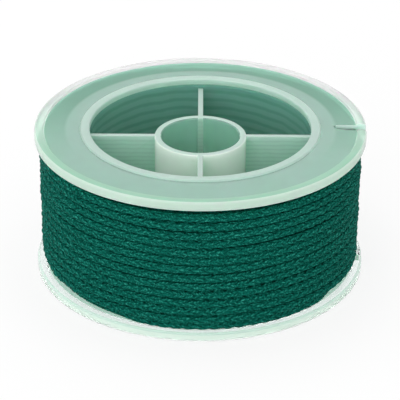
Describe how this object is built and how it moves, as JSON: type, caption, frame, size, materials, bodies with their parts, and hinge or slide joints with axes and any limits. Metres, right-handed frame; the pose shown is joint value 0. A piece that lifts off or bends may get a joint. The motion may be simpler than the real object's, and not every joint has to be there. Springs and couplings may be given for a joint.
{
  "type": "cord spool",
  "caption": "Flanged translucent plastic spool with an open ribbed drum and a spindle hole, wound full with one dark green braided cord.",
  "frame": {"origin": "centre of the face that the spool stands on, on the spindle hole's axis", "axes": "+Z along the spindle hole, up through the second flange; +X towards the thread slits"},
  "size_m": [0.072, 0.072, 0.033],
  "materials": {
    "spool_plastic": "translucent, satin",
    "cord": "braided, slight sheen"
  },
  "bodies": {
    "root": {"lower_half": "spool_plastic", "upper_half": "spool_plastic", "cord_inner_layers": "cord", "cord_outer_layer": "cord"}
  },
  "joints": []
}
